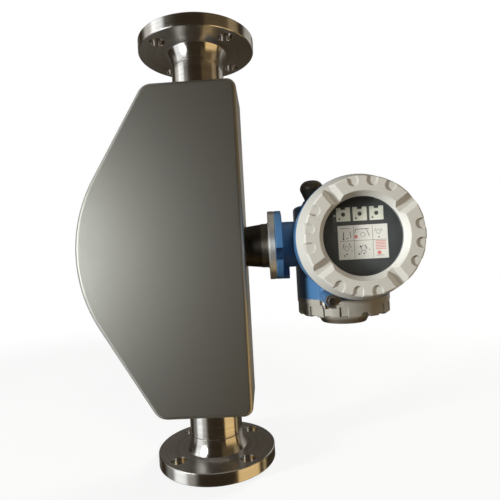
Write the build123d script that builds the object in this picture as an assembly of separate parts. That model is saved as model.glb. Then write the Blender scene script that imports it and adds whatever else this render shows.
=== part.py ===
from build123d import *
from math import asin, atan2, cos, degrees, hypot, radians, sin, tan
import os

# Coriolis mass flow meter with two bent measuring tubes, standing on its lower flange.
# Millimetres. The origin is the centre of the lower flange face, +Z runs up the pipe,
# +X points to the transmitter and -Y is the side that the display faces.

# Pipe connections: 2 inch class 150 raised face flanges
flange_radius = 76.2
flange_thickness = 17.5
raised_face_radius = 46.05
raised_face_height = 2.0
bolt_edge_distance = 15.85
bolt_hole_radius = 9.525
bolt_count = 4
bore_radius = 26.25
hub_base_flare = 4.95
hub_waist_flare = 2.05
hub_waist_place = 6.7
hub_length = 19.0
edge_break = 0.8

# Flow dividers, which split the bore into the two measuring tubes
divider_wall = 1.2
flow_neck_length = 29.95
divider_reach = 24.0
divider_throat = 14.0
socket_depth = 6.0

# Measuring tubes
tube_radius = 15.0
tube_wall = 1.6
tube_offset = 18.0
tube_lead = 48.8
tube_bend_radius = 55.0
tube_crown_radius = 60.0
brace_thickness = 5.0
brace_gap = 8.0
brace_width = 40.0
brace_web = 3.0
brace_corner_radius = 6.0

# Drive coil, pick-off coils and their magnets, all carried on brackets on the tubes
coil_radius = 10.0
coil_bore_radius = 6.5
coil_length = 8.0
magnet_radius = 5.0
magnet_length = 16.0
coil_stand_off = 28.0
coil_clearance = 7.1
bracket_thickness = 2.5
bracket_width = 18.0
bracket_split = 10.0
bracket_lip = 2.0
pickoff_place = 0.42

# Sensor housing: two pressed half shells welded along their seam
housing_half_height = 210.8
housing_right = 52.5
housing_reach = 161.5
housing_side_gap = 6.0
housing_wall = 3.0
housing_edge_radius = 5.0
crown_radius = 185.0
flank_angle = 31.0
shoulder_radius = 20.0
heel_radius = 12.0
seam_bevel = 0.7

# Neck between the housing and the transmitter
neck_length = 20.9
neck_foot_radius = 26.0
neck_head_radius = 28.5
neck_bore_radius = 20.0
collar_length = 9.2
collar_radius = 29.0
ring_thickness = 8.5
ring_radius = 45.0
ring_fillet = 3.0
collar_bore_radius = 14.0
collar_tail = 8.0
spigot_radius = 22.0
spigot_length = 19.0
spigot_groove_width = 7.0
spigot_groove_depth = 1.6
seal_section_radius = 1.1
feedthrough_thickness = 6.0
pin_radius = 0.7
pin_length = 14.0
pin_circle_radius = 8.0
pin_count = 9

# Transmitter casting
mount_flange_thickness = 9.1
mount_notch_width = 16.0
mount_notch_depth = 7.5
mount_notch_turn = 16.0
mount_lug_width = 20.0
mount_lug_length = 8.0
mount_lug_radius = 7.0
stem_radius = 30.0
stem_reach = 83.2
stem_bore_radius = 14.0
display_rise = 2.5
drum_wall = 7.9
drum_rim_step = 1.0
drum_rim_width = 12.0
drum_front = 83.0
drum_shoulder = 20.0
drum_tail = 25.0
drum_tail_radius = 50.0
electronics_step = 4.0
terminal_set_back = 40.0
terminal_radius = 63.5
terminal_depth = 74.4
terminal_top = 52.0
terminal_roof = 6.0
terminal_rim_wall = 5.5
terminal_bore_step = 2.0
terminal_edge_radius = 5.0
partition_wall = 6.0
cable_way_radius = 6.0
securing_screw_radius = 2.5

# Threaded covers
cover_thread_length = 14.0
display_thread_radius = 62.0
display_spigot_wall = 5.0
terminal_spigot_wall = 4.0
seal_groove_width = 2.8
seal_groove_depth = 2.4
cover_inset = 0.5
cover_slope = 6.6
cover_height = 31.0
cover_rim = 2.0
cover_bevel = 1.5
window_radius = 43.0
window_bevel = 4.7
window_recess = 10.3
window_lip = 1.5
window_seat = 4.8
glass_thickness = 8.0
retainer_thickness = 3.7
retainer_step = 1.5
groove_count = 4
groove_width = 16.5
groove_floor = 6.0
groove_depth = 6.0
display_groove_turn = 35.0
scallop_width = 11.0
scallop_length = 10.0
scallop_depth = 2.0
display_flute_drop = 5.0
terminal_flute_drop = 14.0
scallop_bite = 0.6
scallop_spacing = 19.5
blind_cover_height = 23.6
blind_cover_lip = 5.5
blind_cover_step = 0.8
blind_cover_bevel = 2.0
blind_cover_floor = 8.0
blind_boss_foot_radius = 38.0
blind_boss_head_radius = 31.0
blind_boss_height = 12.7
terminal_groove_turn = 74.0
terminal_groove_start = 40.0

# Display module and electronics
display_radius = 50.0
display_gap = 1.0
display_plate = 2.0
display_can_radius = 44.0
display_can_depth = 24.0
display_can_wall = 2.5
display_board_radius = 38.0
display_boss_radius = 13.0
display_pivot_radius = 9.0
key_size = 15.2
key_pitch = 18.05
key_height = 25.0
key_hole_radius = 2.35
key_notch_width = 5.0
key_notch_depth = 2.4
key_thickness = 0.6
label_width = 54.0
label_height = 37.4
label_centre_x = 2.0
label_centre_y = -6.0
label_thickness = 0.3
carrier_wall = 3.0
carrier_window = 30.0
board_width = 84.0
board_height = 56.0
board_thickness = 1.6
board_count = 3
board_first = 6.0
post_radius = 3.5
post_inset = 6.0
component_height = 2.0
component_step = 1.0
component_places = [(21, 6, 16, 12), (-17, 8, 22, 10), (-8, -11, 12, 16), (18, -11, 10, 10)]
holder_thickness = 3.0
holder_boss_length = 7.0
holder_opening_radius = 9.0
holder_opening_circle = 30.0

# Terminals
terminal_board_width = 52.0
terminal_board_depth = 26.0
terminal_standoff = 10.0
terminal_standoff_radius = 3.0
terminal_board_centre = 31.0
terminal_block_depth = 18.0
terminal_block_margin = 2.0
terminal_screw_radius = 2.4
terminal_screw_count = 6
terminal_screw_length = 8.0
ground_boss_radius = 6.0
ground_boss_height = 8.0
ground_screw_radius = 2.5
ground_head_radius = 5.0
ground_head_height = 3.5
ground_wall_distance = 24.0

# Cable entries, closed with dome headed plugs
entry_spread = 38.0
entry_first = -35.4
entry_boss_radius = 15.5
entry_boss_height = 4.0
plug_thread_radius = 10.0
plug_thread_length = 16.0
washer_radius = 14.0
washer_thickness = 2.0
plug_collar_radius = 13.0
plug_collar_height = 2.0
plug_waist_radius = 11.0
plug_waist_height = 5.0
plug_head_radius = 16.4
plug_head_start = 20.0
plug_height = 33.0
plug_dome_radius = 11.5

# Cover clamps
clamp_eye_radius = 6.6
clamp_gap = 0.3
clamp_thickness = 6.0
clamp_nose_radius = 2.0
clamp_nose_turn = 6.5
clamp_nose_offset = 2.6
clamp_boss_radius = 7.4
display_clamp_turn = 244.0
display_clamp_boss = 45.0
terminal_clamp_turn = 118.0
terminal_clamp_boss = 24.0
clamp_boss_gap = 5.0
clamp_screw_radius = 2.5
clamp_screw_length = 16.0
clamp_head_radius = 4.4
clamp_head_height = 4.5
socket_radius = 2.0
hex_socket_depth = 3.0

# Clearances
sliding_fit = 0.05
thread_fit = 0.1
free_gap = 0.3

# Sizes and places that follow from the sizes above
divider_radius = tube_offset + tube_radius + sliding_fit + divider_wall
hub_base_radius = divider_radius + hub_base_flare
hub_waist_radius = divider_radius + hub_waist_flare
bolt_circle_radius = flange_radius - bolt_edge_distance
housing_half_depth = tube_offset + tube_radius + housing_side_gap + housing_wall
face_to_face = 2 * (flange_thickness + hub_length + flow_neck_length + housing_half_height)
middle = face_to_face / 2
housing_floor = middle - housing_half_height
hub_end = flange_thickness + hub_length
divider_end = housing_floor + divider_reach
tube_corner = divider_end + tube_lead
tube_rise = middle - tube_corner
coil_reach = coil_stand_off + coil_radius + bracket_lip
tube_reach = housing_reach - housing_wall - coil_clearance - coil_reach
crown_offset = tube_reach - tube_crown_radius
crown_turn = asin(tube_crown_radius / hypot(tube_rise, crown_offset))
tube_angle = degrees(crown_turn + atan2(crown_offset, tube_rise))
tube_crown = tube_rise * tan(radians(tube_angle))
ring_start = housing_right + neck_length + collar_length
mount_face = ring_start + ring_thickness
transmitter_x = mount_face + mount_flange_thickness + stem_reach
display_z = middle + display_rise
drum_radius = display_thread_radius + thread_fit + drum_wall
drum_rim_radius = drum_radius + drum_rim_step
electronics_radius = display_thread_radius - electronics_step
cover_radius = drum_rim_radius - cover_inset
cover_face_radius = cover_radius - cover_slope
window_bevel_radius = window_radius + window_bevel
window_seat_radius = window_radius + window_seat
retainer_radius = window_radius + retainer_step
terminal_thread_radius = terminal_radius - terminal_rim_wall
terminal_bore_radius = terminal_thread_radius - terminal_bore_step
ground_set_back = terminal_bore_radius - ground_wall_distance
electronics_floor = terminal_bore_radius - terminal_set_back + partition_wall
terminal_ceiling = terminal_top - terminal_roof
cover_front = drum_front + cover_height
glass_front = cover_front - window_recess
glass_back = glass_front - glass_thickness
retainer_start = glass_back - retainer_thickness
display_front = retainer_start - display_gap
display_back = display_front - display_plate - display_can_depth
carrier_length = display_back - holder_boss_length - holder_thickness - electronics_floor
board_pitch = (carrier_length - board_first) / board_count

front_view = Plane(origin=(transmitter_x, 0, display_z), x_dir=(1, 0, 0), z_dir=(0, -1, 0))
terminal_view = Plane(origin=(transmitter_x, terminal_set_back, middle), x_dir=(1, 0, 0), z_dir=(0, 0, -1))
neck_view = Plane(origin=(0, 0, middle), x_dir=(0, 1, 0), z_dir=(1, 0, 0))
sensor_view = Plane(origin=(0, 0, middle), x_dir=(1, 0, 0), z_dir=(0, -1, 0))
entry_places = [entry_first, entry_first + entry_spread]

# Each claw: the frame that it lies in, the rim beside it, its turn and its lower face
display_claw = (front_view, drum_rim_radius, display_clamp_turn, drum_front - clamp_boss_gap)
terminal_claw = (terminal_view, terminal_radius, terminal_clamp_turn, terminal_depth - clamp_gap)


def rod(radius, start, end, x=0, y=0):
    """A round bar along local Z."""
    return Pos(x, y, start) * Cylinder(radius, end - start, align=(Align.CENTER, Align.CENTER, Align.MIN))


def block(width, depth, start, end, x=0, y=0):
    """A square bar along local Z."""
    return Pos(x, y, start) * Box(width, depth, end - start, align=(Align.CENTER, Align.CENTER, Align.MIN))


def turned(points):
    """A piece turned about local Z from its (radius, height) outline."""
    return revolve(Plane.XZ * make_face(Polyline(*points, close=True)), Axis.Z)


def polar(radius, turn):
    return radius * cos(radians(turn)), radius * sin(radians(turn))


def lower_flange():
    hub_face = flange_thickness
    outline = [
        Polyline(
            (divider_radius, hub_end),
            (bore_radius, hub_end),
            (bore_radius, 0),
            (raised_face_radius, 0),
            (raised_face_radius, raised_face_height),
            (flange_radius - edge_break, raised_face_height),
            (flange_radius, raised_face_height + edge_break),
            (flange_radius, hub_face - edge_break),
            (flange_radius - edge_break, hub_face),
            (hub_base_radius, hub_face),
        ),
        ThreePointArc(
            (hub_base_radius, hub_face),
            (hub_waist_radius, hub_face + hub_waist_place),
            (divider_radius, hub_end),
        ),
    ]
    flange = revolve(Plane.XZ * make_face(outline), Axis.Z)
    first_turn = 180 / bolt_count
    for hole in range(bolt_count):
        x, y = polar(bolt_circle_radius, first_turn + hole * 360 / bolt_count)
        flange -= rod(bolt_hole_radius, 0, flange_thickness, x, y)
    return flange


def lower_flow_divider():
    """One casting: round neck outside, one bore that parts into two tube sockets inside."""
    divider = rod(divider_radius, hub_end, divider_end)
    throat = hub_end + divider_throat
    divider -= rod(bore_radius, hub_end, throat)
    socket_floor = divider_end - socket_depth
    for side in (-1, 1):
        way = loft([
            Pos(0, 0, throat) * Circle(bore_radius),
            Pos(0, side * tube_offset, socket_floor) * Circle(tube_radius - tube_wall),
        ])
        divider -= way
        divider -= rod(tube_radius + sliding_fit, socket_floor, divider_end, 0, side * tube_offset)
    groove = turned([
        (divider_radius - edge_break, hub_end),
        (divider_radius + edge_break, hub_end),
        (divider_radius + edge_break, hub_end + 2 * edge_break),
    ])
    return divider - groove


def tube_path(side):
    """Centre line of one measuring tube, from socket to socket."""
    foot = divider_end - socket_depth
    y = side * tube_offset
    return FilletPolyline(
        (0, y, foot),
        (0, y, tube_corner),
        (-tube_crown, y, middle),
        (0, y, face_to_face - tube_corner),
        (0, y, face_to_face - foot),
        radius=[tube_bend_radius, tube_crown_radius, tube_bend_radius],
    )


def along_tube(side, radius):
    path = tube_path(side)
    start = Plane(origin=path @ 0, z_dir=path % 0)
    return sweep(start * Circle(radius), path=path)


def measuring_tube(side):
    return along_tube(side, tube_radius) - along_tube(side, tube_radius - tube_wall)


def brace_plate():
    """Plate that ties the two tubes together where they start to swing."""
    start = divider_end + brace_gap
    depth = 2 * (tube_offset + tube_radius + brace_web)
    plate = block(brace_width, depth, start, start + brace_thickness)
    plate = fillet(plate.edges().filter_by(Axis.Z), brace_corner_radius)
    for side in (-1, 1):
        plate -= rod(tube_radius + sliding_fit, start, start + brace_thickness, 0, side * tube_offset)
    return plate


def coil_frames():
    """Local frames on the tube pair: x outward from the bend, y across, z along the tube."""
    out_x = cos(radians(tube_angle))
    out_z = sin(radians(tube_angle))
    drive = Plane(origin=(-tube_reach, 0, middle), x_dir=(-1, 0, 0), z_dir=(0, 0, 1))
    lower = Plane(
        origin=(-tube_crown * pickoff_place, 0, tube_corner + tube_rise * pickoff_place),
        x_dir=(-out_x, 0, -out_z),
        z_dir=(-out_z, 0, out_x),
    )
    upper = Plane(
        origin=(-tube_crown * pickoff_place, 0, face_to_face - tube_corner - tube_rise * pickoff_place),
        x_dir=(-out_x, 0, out_z),
        z_dir=(out_z, 0, out_x),
    )
    return drive, lower, upper


def coil_bracket(frame, side):
    """Plate from the tube's outer side to the coil or magnet; local +y is the front tube."""
    plate = Box(
        coil_reach, bracket_thickness, bracket_width, align=(Align.MIN, Align.MIN, Align.CENTER)
    )
    bracket = frame * Pos(0, bracket_split, 0) * plate
    if side < 0:
        bracket = mirror(bracket, about=Plane.XZ)
    return bracket - along_tube(-side, tube_radius)


def coil(frame):
    axis = frame * Pos(coil_stand_off, bracket_split, 0) * Rot(90, 0, 0)
    return axis * (rod(coil_radius, 0, coil_length) - rod(coil_bore_radius, 0, coil_length))


def magnet(frame):
    axis = frame * Pos(coil_stand_off, -bracket_split, 0) * Rot(-90, 0, 0)
    return axis * rod(magnet_radius, 0, magnet_length)


def housing_outline(inset):
    """The housing's flat outline with every side moved inward by inset."""
    right = housing_right - inset
    top = housing_half_height - inset
    arc = crown_radius - inset
    centre = crown_radius - housing_reach
    slope = radians(flank_angle)
    tangent_x = centre - arc * cos(slope)
    tangent_y = arc * sin(slope)
    shoulder_x = tangent_x + (top - tangent_y) * tan(slope)
    face = make_face([
        Polyline((tangent_x, tangent_y), (shoulder_x, top), (right, top)),
        Line((right, top), (right, -top)),
        Polyline((right, -top), (shoulder_x, -top), (tangent_x, -tangent_y)),
        ThreePointArc((tangent_x, -tangent_y), (centre - arc, 0), (tangent_x, tangent_y)),
    ])
    heels = face.vertices().filter_by(lambda v: v.X > right - 1)
    face = fillet(heels, heel_radius - inset)
    shoulders = face.vertices().filter_by(lambda v: abs(v.Y) > top - 1 and v.X < shoulder_x + 1)
    return fillet(shoulders, shoulder_radius - inset)


def front_housing_shell():
    body = extrude(housing_outline(0), housing_half_depth)
    body = fillet(body.faces().sort_by(Axis.Z)[-1].edges(), housing_edge_radius)
    body = chamfer(body.faces().sort_by(Axis.Z)[0].edges(), seam_bevel)
    hollow = extrude(housing_outline(housing_wall), housing_half_depth - housing_wall)
    hollow = fillet(hollow.faces().sort_by(Axis.Z)[-1].edges(), housing_edge_radius - housing_wall)
    shell = sensor_view * (body - hollow)
    shell -= rod(divider_radius + thread_fit, housing_floor, face_to_face - housing_floor)
    tail = neck_foot_radius - housing_wall + thread_fit
    shell -= neck_view * rod(tail, housing_right - 2 * housing_wall, housing_right)
    return shell


def sensor_neck():
    """Tapered tube welded on the housing's flat side."""
    tail = neck_foot_radius - housing_wall
    end = housing_right + neck_length
    neck = turned([
        (neck_bore_radius, housing_right - 2 * housing_wall),
        (tail, housing_right - 2 * housing_wall),
        (tail, housing_right),
        (neck_foot_radius, housing_right),
        (neck_head_radius, end),
        (neck_bore_radius, end),
    ])
    return neck_view * neck


def neck_collar():
    """Turned steel collar: ring, large clamping ring and the spigot that the casting turns on."""
    foot = housing_right + neck_length
    collar = rod(neck_bore_radius - sliding_fit, foot - collar_tail, foot)
    collar += rod(collar_radius, foot, ring_start)
    ring = rod(ring_radius, ring_start, mount_face)
    ring = chamfer(ring.edges().filter_by(GeomType.CIRCLE), edge_break)
    collar += ring
    corner = collar.edges().filter_by(GeomType.CIRCLE).filter_by(
        lambda e: abs(e.radius - collar_radius) < 0.01 and abs(e.center().Z - ring_start) < 0.01
    )
    collar = fillet(corner, ring_fillet)
    collar += rod(spigot_radius, mount_face, mount_face + spigot_length)
    groove = spigot_radius - spigot_groove_depth
    groove_start = mount_face + mount_flange_thickness + (mount_lug_length - spigot_groove_width) / 2
    collar -= rod(spigot_radius, groove_start, groove_start + spigot_groove_width)
    collar += rod(groove, groove_start, groove_start + spigot_groove_width)
    seal_floor = spigot_radius - seal_groove_depth
    collar -= rod(spigot_radius, mount_face + seal_groove_width, mount_face + 2 * seal_groove_width)
    collar += rod(seal_floor, mount_face + seal_groove_width, mount_face + 2 * seal_groove_width)
    collar -= rod(collar_bore_radius, foot - collar_tail, mount_face + spigot_length)
    return neck_view * collar


def neck_seal():
    middle_radius = spigot_radius - seal_groove_depth + seal_section_radius + sliding_fit
    place = mount_face + 1.5 * seal_groove_width
    return neck_view * Pos(0, 0, place) * Torus(middle_radius, seal_section_radius)


def feedthrough():
    start = housing_right + neck_length - collar_tail
    plug = rod(collar_bore_radius, start, start + feedthrough_thickness)
    for pin in range(pin_count):
        x, y = polar(pin_circle_radius, pin * 360 / pin_count)
        plug -= rod(pin_radius, start, start + feedthrough_thickness, x, y)
    return neck_view * plug


def feedthrough_pins():
    start = housing_right + neck_length - collar_tail + (feedthrough_thickness - pin_length) / 2
    pins = []
    for pin in range(pin_count):
        x, y = polar(pin_circle_radius, pin * 360 / pin_count)
        pins.append(neck_view * rod(pin_radius, start, start + pin_length, x, y))
    return Compound(pins)


def clamp_centre(radius, turn):
    """Where a clamp's screw stands beside a rim of the given radius."""
    return polar(radius + clamp_gap + clamp_eye_radius, turn)


def clamp_screw_hole(frame, rim_radius, turn, start):
    """Tapped hole of a clamp's screw, in the boss below the claw."""
    x, y = clamp_centre(rim_radius, turn)
    return frame * rod(clamp_screw_radius + sliding_fit, start - clamp_screw_length, start, x, y)


def lug_screw_place():
    return mount_face + mount_flange_thickness + mount_lug_length / 2


def stem_and_mount_flange():
    start = mount_face
    back = start + mount_flange_thickness
    flange = rod(ring_radius, start, back)
    flange = chamfer(flange.edges().filter_by(GeomType.CIRCLE), edge_break)
    for turn in (mount_notch_turn + 180, mount_notch_turn):
        notch = block(2 * mount_notch_depth, mount_notch_width, start, back, ring_radius)
        flange -= Rot(0, 0, turn) * notch
    stem = rod(stem_radius, start, transmitter_x - terminal_radius / 2)
    lug_depth = ring_radius - stem_radius / 2
    lug = block(mount_lug_width, lug_depth, back, back + mount_lug_length, 0, lug_depth / 2 - ring_radius)
    lug = fillet(lug.edges().filter_by(Axis.Z).sort_by(Axis.Y)[:2], mount_lug_radius)
    return neck_view * (flange + stem + lug)


def display_drum():
    drum = turned([
        (0, -drum_tail),
        (drum_tail_radius, -drum_tail),
        (drum_radius, drum_shoulder),
        (drum_radius, drum_front - drum_rim_width),
        (drum_rim_radius, drum_front - drum_rim_width),
        (drum_rim_radius, drum_front),
        (0, drum_front),
    ])
    x, y = clamp_centre(drum_rim_radius, display_clamp_turn)
    post_end = drum_front - clamp_boss_gap
    drum += rod(clamp_boss_radius, post_end - display_clamp_boss, post_end, x, y)
    return front_view * drum


def terminal_drum():
    drum = rod(terminal_radius, -terminal_top, terminal_depth)
    drum = fillet(drum.faces().sort_by(Axis.Z)[0].edges(), terminal_edge_radius)
    for x in entry_places:
        drum += rod(entry_boss_radius, -terminal_top - entry_boss_height, -terminal_ceiling, x)
    x, y = clamp_centre(terminal_radius, terminal_clamp_turn)
    post_end = terminal_depth - clamp_gap
    drum += rod(clamp_boss_radius, post_end - terminal_clamp_boss, post_end, x, y)
    return terminal_view * drum


def transmitter_housing():
    """Pressure die casting with a display chamber in front and a terminal chamber behind."""
    casting = stem_and_mount_flange() + display_drum() + terminal_drum()
    display_mouth = drum_front - cover_thread_length
    casting -= front_view * (
        rod(electronics_radius, electronics_floor, drum_front)
        + rod(display_thread_radius + thread_fit, display_mouth, drum_front)
    )
    terminal_mouth = terminal_depth - cover_thread_length
    casting -= terminal_view * (
        rod(terminal_bore_radius, -terminal_ceiling, terminal_depth)
        + rod(terminal_thread_radius + thread_fit, terminal_mouth, terminal_depth)
    )
    for x in entry_places:
        hole = rod(plug_thread_radius + thread_fit, -terminal_top - entry_boss_height, -terminal_ceiling, x)
        casting -= terminal_view * hole
    stem_end = mount_face + spigot_length + cable_way_radius
    casting -= neck_view * rod(spigot_radius + thread_fit, mount_face, mount_face + spigot_length)
    casting -= neck_view * rod(stem_bore_radius, mount_face, stem_end)
    way_start = Vector(stem_end - cable_way_radius, 0, middle)
    way_x = transmitter_x - electronics_radius + 3 * cable_way_radius
    way_end = Vector(way_x, -electronics_floor - free_gap, middle)
    way = way_end - way_start
    casting -= Plane(origin=way_start, z_dir=way) * rod(cable_way_radius, 0, way.length)
    casting -= securing_frame() * rod(securing_screw_radius + sliding_fit, spigot_radius / 2, ring_radius)
    for claw in (display_claw, terminal_claw):
        casting -= clamp_screw_hole(*claw)
    return casting + terminal_fittings()


def terminal_fittings():
    """Cast stand-offs for the terminal board and the boss of the ground screw."""
    fittings = []
    foot = terminal_ceiling - terminal_standoff
    for x in (-1, 1):
        for y in (-1, 1):
            fittings.append(rod(
                terminal_standoff_radius,
                -terminal_ceiling,
                -foot,
                x * (terminal_board_width / 2 - 2 * terminal_standoff_radius),
                terminal_board_centre + y * (terminal_board_depth / 2 - 2 * terminal_standoff_radius),
            ))
    seat = ground_boss_height - terminal_ceiling
    boss = rod(ground_boss_radius, -terminal_ceiling, seat, 0, -ground_set_back)
    hole = rod(ground_screw_radius + sliding_fit, -terminal_ceiling, seat, 0, -ground_set_back)
    fittings.append(boss - hole)
    return terminal_view * Compound(fittings)


def securing_frame():
    """Local frame of the securing screw: z points radially down from the neck axis."""
    return Plane(origin=(lug_screw_place(), 0, middle), x_dir=(1, 0, 0), z_dir=(0, 0, -1))


def securing_screw():
    tip = spigot_radius - spigot_groove_depth + free_gap
    screw = rod(securing_screw_radius, tip, ring_radius - edge_break)
    return securing_frame() * (screw - hex_socket(ring_radius - edge_break))


def hex_socket(end):
    start = end - hex_socket_depth
    return Pos(0, 0, start) * extrude(RegularPolygon(socket_radius, 6), hex_socket_depth)


def cover_grips(face_radius, side_radius, front, flute_drop, groove_turn, groove_start):
    """Four tool grooves and twelve finger scallops, cut into a cover's front edge."""
    groove_profile = Polyline(
        (-groove_floor / 2, front - groove_depth),
        (groove_floor / 2, front - groove_depth),
        (groove_width / 2, front),
        (-groove_width / 2, front),
        close=True,
    )
    start = Plane(origin=(groove_start, 0, 0), x_dir=(0, 1, 0), z_dir=(1, 0, 0))
    groove = extrude(start * make_face(groove_profile), side_radius - groove_start + 1)
    reach = side_radius - face_radius + scallop_length - scallop_width / 2 + 1
    centre = face_radius - scallop_length + scallop_width / 2
    pocket = block(reach, scallop_width, front - scallop_depth, front + 1, centre + reach / 2)
    pocket += rod(scallop_width / 2, front - scallop_depth, front + 1, centre)
    flute = block(side_radius, scallop_width, front - flute_drop, front + 1, face_radius + side_radius / 2)
    grips = []
    for quarter in range(groove_count):
        turn = groove_turn + quarter * 360 / groove_count
        grips.append(Rot(0, 0, turn) * groove)
        for step in (-1, 0, 1):
            place = turn + 180 / groove_count + step * scallop_spacing
            grips.append(Rot(0, 0, place) * (pocket + flute))
    return grips


def thread_spigot_groove(radius, face):
    start = face - 1.5 * seal_groove_width
    end = start + seal_groove_width
    return rod(radius + 1, start, end) - rod(radius - seal_groove_depth, start, end)


def display_cover():
    inner = display_thread_radius - display_spigot_wall
    face = cover_face_radius - scallop_bite
    bevel_foot = glass_front + window_lip
    cover = turned([
        (inner, drum_front - cover_thread_length + free_gap),
        (display_thread_radius, drum_front - cover_thread_length + free_gap),
        (display_thread_radius, drum_front),
        (cover_radius, drum_front),
        (cover_radius, drum_front + cover_rim),
        (cover_face_radius, cover_front - cover_bevel),
        (cover_face_radius - cover_bevel, cover_front),
        (window_bevel_radius, cover_front),
        (window_radius, bevel_foot),
        (window_radius, glass_front),
        (window_seat_radius, glass_front),
        (window_seat_radius, retainer_start),
        (inner, retainer_start),
    ])
    grips = (face, cover_radius, cover_front, display_flute_drop, display_groove_turn, window_radius)
    for cut in cover_grips(*grips):
        cover -= cut
    cover -= thread_spigot_groove(display_thread_radius, drum_front)
    return front_view * cover


def window_glass():
    return front_view * rod(window_seat_radius - sliding_fit, glass_back, glass_front)


def glass_retainer():
    ring = rod(window_seat_radius - sliding_fit, retainer_start, glass_back)
    return front_view * (ring - rod(retainer_radius, retainer_start, glass_back))


def cover_seal(frame, thread_radius, face):
    middle_radius = thread_radius - seal_groove_depth + seal_section_radius + sliding_fit
    return frame * Pos(0, 0, face - seal_groove_width) * Torus(middle_radius, seal_section_radius)


def terminal_cover():
    inner = terminal_thread_radius - terminal_spigot_wall
    face = terminal_depth
    front = face + blind_cover_height
    side = terminal_radius - blind_cover_step
    cover = turned([
        (0, front - blind_cover_floor),
        (inner, front - blind_cover_floor),
        (inner, face - cover_thread_length + free_gap),
        (terminal_thread_radius, face - cover_thread_length + free_gap),
        (terminal_thread_radius, face),
        (terminal_radius, face),
        (terminal_radius, face + blind_cover_lip),
        (side, face + blind_cover_lip + blind_cover_step),
        (side, front - blind_cover_bevel),
        (side - blind_cover_bevel, front),
        (blind_boss_foot_radius, front),
        (blind_boss_head_radius, front + blind_boss_height - edge_break),
        (blind_boss_head_radius - edge_break, front + blind_boss_height),
        (0, front + blind_boss_height),
    ])
    flat = side - blind_cover_bevel
    grips = (flat, terminal_radius, front, terminal_flute_drop, terminal_groove_turn, terminal_groove_start)
    for cut in cover_grips(*grips):
        cover -= cut
    cover -= thread_spigot_groove(terminal_thread_radius, face)
    return terminal_view * cover


def display_frame():
    """Moulded can with a bezel flange; it turns on the holder's pivot."""
    plate_back = display_front - display_plate
    floor = display_back + display_can_wall
    boss_end = display_back + 2 * display_can_wall
    can = rod(display_can_radius, display_back, plate_back)
    can += rod(display_radius, plate_back, display_front)
    can -= rod(display_can_radius - display_can_wall, floor, plate_back - display_can_wall)
    can += rod(display_boss_radius, display_back, boss_end)
    can -= rod(display_pivot_radius + sliding_fit, display_back, boss_end)
    for place in (-1, 0, 1):
        x = place * key_pitch
        can -= block(key_size, key_size, display_front - key_thickness, display_front, x, key_height)
    return front_view * can


def display_board():
    back = display_front - display_plate - display_can_wall
    return front_view * rod(display_board_radius, back - board_thickness, back)


def display_keys():
    """Three light key plates, each with a notch and a round sensor hole."""
    keys = []
    for place in (-1, 0, 1):
        x = place * key_pitch
        start = display_front - key_thickness
        key = block(key_size, key_size, start, display_front, x, key_height)
        key -= rod(key_hole_radius, start, display_front, x, key_height)
        notch_y = key_height + (key_size - key_notch_depth) / 2
        key -= block(key_notch_width, key_notch_depth, start, display_front, x, notch_y)
        keys.append(front_view * key)
    return Compound(keys)


def display_label():
    front = display_front + label_thickness
    return front_view * block(
        label_width, label_height, display_front, front, label_centre_x, label_centre_y
    )


def electronics_posts(radius, start, end):
    x = board_width / 2 - post_inset
    y = board_height / 2 - post_inset
    return [rod(radius, start, end, side * x, rise * y) for side in (-1, 1) for rise in (-1, 1)]


def electronics_carrier():
    """Moulded cup that holds the boards, with four posts and open sides."""
    start = electronics_floor
    end = start + carrier_length
    outer = electronics_radius - thread_fit
    inner = outer - carrier_wall
    carrier = rod(outer, start, end) - rod(inner, start + carrier_wall, end)
    window = block(3 * outer, carrier_window, start + 2 * carrier_wall, end - carrier_wall)
    for turn in (0, 90):
        carrier -= Rot(0, 0, turn) * window
    for post in electronics_posts(post_radius, start + carrier_wall, end):
        carrier += post
    return front_view * carrier


def circuit_board(number):
    start = electronics_floor + board_first + number * board_pitch
    board = block(board_width, board_height, start, start + board_thickness)
    for post in electronics_posts(post_radius + sliding_fit, start, start + board_thickness):
        board -= post
    top = start + board_thickness + component_height + number * component_step
    for x, y, width, depth in component_places:
        board += block(width, depth, start + board_thickness, top, x, y)
    return front_view * board


def display_holder():
    """Plate on the carrier with the pivot that the display turns on."""
    start = electronics_floor + carrier_length
    end = start + holder_thickness
    holder = rod(electronics_radius - thread_fit, start, end)
    holder += rod(display_pivot_radius, end, display_back + 2 * display_can_wall)
    holder += rod(display_boss_radius, end, display_back)
    for turn in range(0, 360, 60):
        x, y = polar(holder_opening_circle, turn)
        holder -= rod(holder_opening_radius, start, end, x, y)
    return front_view * holder


def terminal_board():
    top = terminal_ceiling - terminal_standoff
    board = block(terminal_board_width, terminal_board_depth, -top, board_thickness - top)
    return terminal_view * Pos(0, terminal_board_centre, 0) * board


def terminal_screw_places():
    pitch = terminal_board_width / (terminal_screw_count + 1)
    first = -pitch * (terminal_screw_count - 1) / 2
    row_step = terminal_board_depth / 5
    rows = (terminal_board_centre - row_step, terminal_board_centre + row_step)
    return [(first + number * pitch, row) for number in range(terminal_screw_count) for row in rows]


def terminal_block():
    start = board_thickness - (terminal_ceiling - terminal_standoff)
    end = start + terminal_block_depth
    width = terminal_board_width - 2 * terminal_block_margin
    depth = terminal_board_depth - 2 * terminal_block_margin
    terminals = block(width, depth, start, end, 0, terminal_board_centre)
    for x, y in terminal_screw_places():
        terminals -= rod(terminal_screw_radius + sliding_fit, end - terminal_screw_length, end, x, y)
    return terminal_view * terminals


def terminal_screws():
    start = board_thickness - (terminal_ceiling - terminal_standoff)
    end = start + terminal_block_depth
    screws = []
    for x, y in terminal_screw_places():
        screw = rod(terminal_screw_radius, end - terminal_screw_length, end - board_thickness, x, y)
        slot = block(2 * terminal_screw_radius, board_thickness / 2, end - 2 * board_thickness, end, x, y)
        screws.append(terminal_view * (screw - slot))
    return Compound(screws)


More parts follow.
